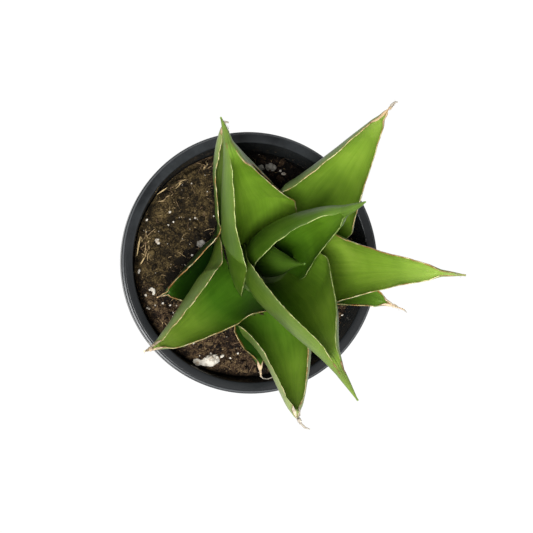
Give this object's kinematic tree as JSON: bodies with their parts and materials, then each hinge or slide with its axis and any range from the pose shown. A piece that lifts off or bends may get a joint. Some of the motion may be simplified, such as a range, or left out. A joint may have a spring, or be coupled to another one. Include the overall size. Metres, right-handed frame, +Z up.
{
  "type": "potted plant",
  "caption": "Young tower green snake plant, a rosette of thick channelled pointed leaves, in a black plastic nursery pot with potting mix and perlite.",
  "frame": {"origin": "middle of the pot's underside", "axes": "+Z up along the pot's axis, +X to the right of the picture, +Y to the top of the picture"},
  "size_m": [0.12, 0.1199, 0.1771],
  "materials": {
    "pot": "satin black",
    "soil": "coarse dark peat with fibres",
    "perlite": "rough white grain",
    "crown": "smooth pale green",
    "leaf": "satin green with pale horny margins"
  },
  "bodies": {
    "root": {"pot": "pot", "soil": "soil", "crown": "crown", "perlite_01": "perlite", "perlite_02": "perlite", "perlite_03": "perlite", "perlite_04": "perlite", "perlite_05": "perlite", "perlite_06": "perlite", "perlite_07": "perlite", "leaf_01": "leaf", "leaf_02": "leaf", "leaf_03": "leaf", "leaf_04": "leaf", "leaf_05": "leaf", "leaf_06": "leaf", "leaf_07": "leaf", "leaf_08": "leaf", "leaf_09": "leaf", "leaf_10": "leaf", "leaf_11": "leaf", "leaf_12": "leaf"}
  },
  "joints": []
}
